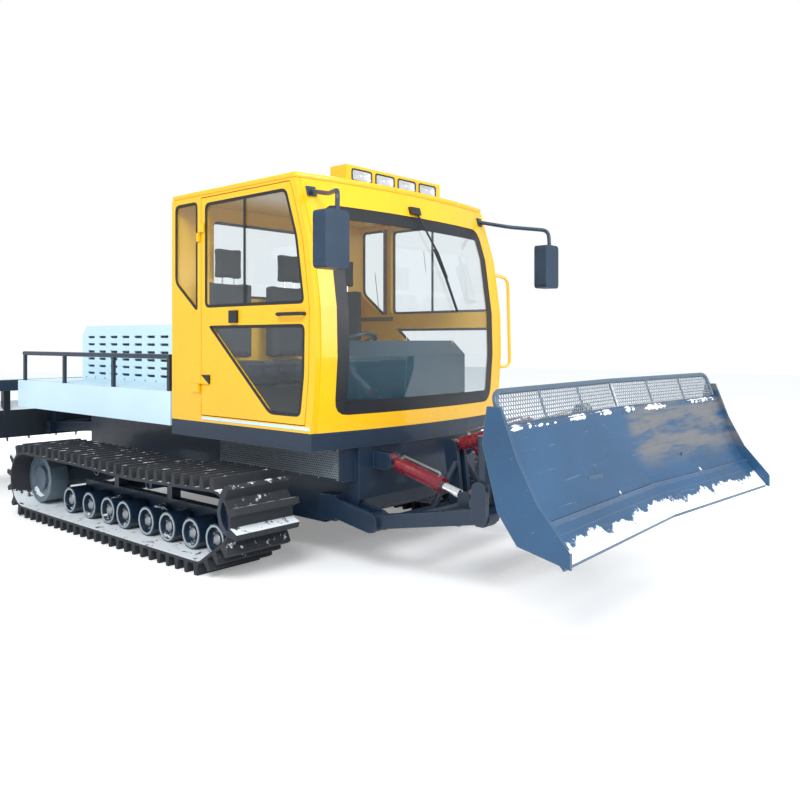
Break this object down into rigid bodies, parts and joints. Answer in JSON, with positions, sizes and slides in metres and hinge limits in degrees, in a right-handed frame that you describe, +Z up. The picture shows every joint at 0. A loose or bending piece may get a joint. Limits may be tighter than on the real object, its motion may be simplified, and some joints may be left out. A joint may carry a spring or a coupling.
{
  "type": "snowcat groomer",
  "caption": "Tracked snow groomer with a hollow cab, load bed, hinged doors, a front blade on lift, pitch and angle linkages, and a rear tiller.",
  "frame": {"origin": "bottom centre of the whole machine, on the ground that the tracks stand on", "axes": "+X forward to the blade, +Y to the machine's left, +Z up"},
  "size_m": [7.07, 2.7, 2.54],
  "materials": {
    "cab_yellow": "gloss yellow paint",
    "chassis_navy": "satin dark navy paint",
    "bed_white": "pale blue-white paint",
    "blade_blue": "worn blue paint",
    "cylinder_red": "dark red paint",
    "rod_chrome": "polished rod",
    "bare_steel": "bare cast metal",
    "track_rubber": "worn rubber belt with bars",
    "wheel_grey": "grey paint",
    "black_plastic": "black plastic",
    "seat_black": "black seat cloth",
    "console_teal": "dark teal plastic",
    "glass": "clear glass"
  },
  "bodies": {
    "chassis": {"cab_front": "cab_yellow", "cab_rear_wall": "cab_yellow", "cab_roof": "cab_yellow", "cab_side_left": "cab_yellow", "cab_side_right": "cab_yellow", "cab_floor": "chassis_navy", "chassis_hull": "chassis_navy", "bed_rail_left": "chassis_navy", "bed_rail_right": "chassis_navy", "mirror_left": "chassis_navy", "mirror_right": "chassis_navy", "engine_hood": "bed_white", "load_bed": "bed_white", "engine_block": "bare_steel", "track_left": "track_rubber", "track_right": "track_rubber", "track_frame_left": "wheel_grey", "track_frame_right": "wheel_grey", "sprocket_left": "wheel_grey", "sprocket_right": "wheel_grey", "roof_lamps": "black_plastic", "wiper": "black_plastic", "seats": "seat_black", "console": "console_teal", "windscreen": "glass", "rear_window": "glass", "quarter_window_left": "glass", "quarter_window_right": "glass"},
    "door_right": {"door_right": "cab_yellow", "door_upper_glass_right": "glass", "door_lower_glass_right": "glass"},
    "door_left": {"door_left": "cab_yellow", "door_upper_glass_left": "glass", "door_lower_glass_left": "glass"},
    "push_frame": {"push_frame": "chassis_navy"},
    "blade_carrier": {"blade_carrier": "chassis_navy"},
    "blade": {"blade": "blade_blue", "blade_screen": "blade_blue"},
    "rear_lift": {"rear_frame": "chassis_navy", "tiller_hood": "bed_white", "tiller_comb": "black_plastic"},
    "tiller_rotor": {"tiller_rotor": "bare_steel"},
    "angle_cylinder_left_barrel": {"angle_cylinder_left_barrel": "cylinder_red"},
    "angle_cylinder_left_rod": {"angle_cylinder_left_rod": "rod_chrome"},
    "angle_cylinder_right_barrel": {"angle_cylinder_right_barrel": "cylinder_red"},
    "angle_cylinder_right_rod": {"angle_cylinder_right_rod": "rod_chrome"},
    "lift_cylinder_left_barrel": {"lift_cylinder_left_barrel": "cylinder_red"},
    "lift_cylinder_left_rod": {"lift_cylinder_left_rod": "rod_chrome"},
    "lift_cylinder_right_barrel": {"lift_cylinder_right_barrel": "cylinder_red"},
    "lift_cylinder_right_rod": {"lift_cylinder_right_rod": "rod_chrome"},
    "pitch_cylinder_barrel": {"pitch_cylinder_barrel": "cylinder_red"},
    "pitch_cylinder_rod": {"pitch_cylinder_rod": "rod_chrome"},
    "rear_cylinder_barrel": {"rear_cylinder_barrel": "cylinder_red"},
    "rear_cylinder_rod": {"rear_cylinder_rod": "rod_chrome"}
  },
  "joints": [
    {"name": "door_right_hinge", "type": "hinge", "parent": "chassis", "child": "door_right", "pos_m": [0.554, -0.962, 1.6], "axis": [0, 0, -1], "range_deg": [0, 80]},
    {"name": "door_left_hinge", "type": "hinge", "parent": "chassis", "child": "door_left", "pos_m": [0.554, 0.962, 1.6], "axis": [0, 0, 1], "range_deg": [0, 80]},
    {"name": "blade_lift", "type": "hinge", "parent": "chassis", "child": "push_frame", "pos_m": [1.85, 0, 0.31], "axis": [0, -1, 0], "range_deg": [-15, 14]},
    {"name": "blade_pitch", "type": "hinge", "parent": "push_frame", "child": "blade_carrier", "pos_m": [2.65, 0, 0.46], "axis": [0, 1, 0], "range_deg": [-8, 12]},
    {"name": "blade_angle", "type": "hinge", "parent": "blade_carrier", "child": "blade", "pos_m": [2.98, 0, 0.67], "axis": [0, 0, 1], "range_deg": [-12, 12]},
    {"name": "rear_lift", "type": "hinge", "parent": "chassis", "child": "rear_lift", "pos_m": [-1.7, 0, 0.62], "axis": [0, 1, 0], "range_deg": [-13, 9]},
    {"name": "rotor_spin", "type": "hinge", "parent": "rear_lift", "child": "tiller_rotor", "pos_m": [-2.93, 0, 0.56], "axis": [0, 1, 0], "continuous": true},
    {"name": "lift_cylinder_right_swing", "type": "hinge", "parent": "chassis", "child": "lift_cylinder_right_barrel", "pos_m": [1.8, -0.42, 0.655], "axis": [0, -1, 0], "range_deg": [-11.94, 11.16]},
    {"name": "lift_cylinder_right_stroke", "type": "slide", "parent": "lift_cylinder_right_barrel", "child": "lift_cylinder_right_rod", "axis": [0.9682, 0, -0.2501], "range_m": [-0.08, 0.0855]},
    {"name": "angle_cylinder_right_swing", "type": "hinge", "parent": "blade_carrier", "child": "angle_cylinder_right_barrel", "pos_m": [2.74, -0.4, 0.7], "axis": [0, 0, 1], "range_deg": [-10.13, 10.13]},
    {"name": "angle_cylinder_right_stroke", "type": "slide", "parent": "angle_cylinder_right_barrel", "child": "angle_cylinder_right_rod", "axis": [0.9316, -0.3635, 0], "range_m": [-0.0972, 0.0972]},
    {"name": "lift_cylinder_left_swing", "type": "hinge", "parent": "chassis", "child": "lift_cylinder_left_barrel", "pos_m": [1.8, 0.42, 0.655], "axis": [0, -1, 0], "range_deg": [-11.94, 11.16]},
    {"name": "lift_cylinder_left_stroke", "type": "slide", "parent": "lift_cylinder_left_barrel", "child": "lift_cylinder_left_rod", "axis": [0.9682, 0, -0.2501], "range_m": [-0.08, 0.0855]},
    {"name": "angle_cylinder_left_swing", "type": "hinge", "parent": "blade_carrier", "child": "angle_cylinder_left_barrel", "pos_m": [2.74, 0.4, 0.7], "axis": [0, 0, 1], "range_deg": [-10.13, 10.13]},
    {"name": "angle_cylinder_left_stroke", "type": "slide", "parent": "angle_cylinder_left_barrel", "child": "angle_cylinder_left_rod", "axis": [0.9316, 0.3635, 0], "range_m": [-0.0972, 0.0972]},
    {"name": "pitch_cylinder_swing", "type": "hinge", "parent": "push_frame", "child": "pitch_cylinder_barrel", "pos_m": [1.98, 0, 0.72], "axis": [0, 1, 0], "range_deg": [-3.52, 5.17]},
    {"name": "pitch_cylinder_stroke", "type": "slide", "parent": "pitch_cylinder_barrel", "child": "pitch_cylinder_rod", "axis": [0.9567, 0, 0.2912], "range_m": [-0.0626, 0.0929]},
    {"name": "rear_cylinder_swing", "type": "hinge", "parent": "chassis", "child": "rear_cylinder_barrel", "pos_m": [-1.69, 0, 0.36], "axis": [0, 1, 0], "range_deg": [-12.35, 8.62]},
    {"name": "rear_cylinder_stroke", "type": "slide", "parent": "rear_cylinder_barrel", "child": "rear_cylinder_rod", "axis": [-0.9821, 0, 0.1883], "range_m": [-0.059, 0.0415]}
  ],
  "couplings": [
    {"joint": "lift_cylinder_right_swing", "follows": "blade_lift", "ratio": 0.7804},
    {"joint": "lift_cylinder_right_stroke", "follows": "blade_lift", "m_per_rad": -0.3191},
    {"joint": "angle_cylinder_right_swing", "follows": "blade_angle", "ratio": 0.8248},
    {"joint": "angle_cylinder_right_stroke", "follows": "blade_angle", "m_per_rad": 0.4547},
    {"joint": "lift_cylinder_left_swing", "follows": "blade_lift", "ratio": 0.7804},
    {"joint": "lift_cylinder_left_stroke", "follows": "blade_lift", "m_per_rad": -0.3191},
    {"joint": "angle_cylinder_left_swing", "follows": "blade_angle", "ratio": 0.8248},
    {"joint": "angle_cylinder_left_stroke", "follows": "blade_angle", "m_per_rad": -0.4547},
    {"joint": "pitch_cylinder_swing", "follows": "blade_pitch", "ratio": 0.4116},
    {"joint": "pitch_cylinder_stroke", "follows": "blade_pitch", "m_per_rad": 0.434},
    {"joint": "rear_cylinder_swing", "follows": "rear_lift", "ratio": 0.9328},
    {"joint": "rear_cylinder_stroke", "follows": "rear_lift", "m_per_rad": 0.2512}
  ]
}
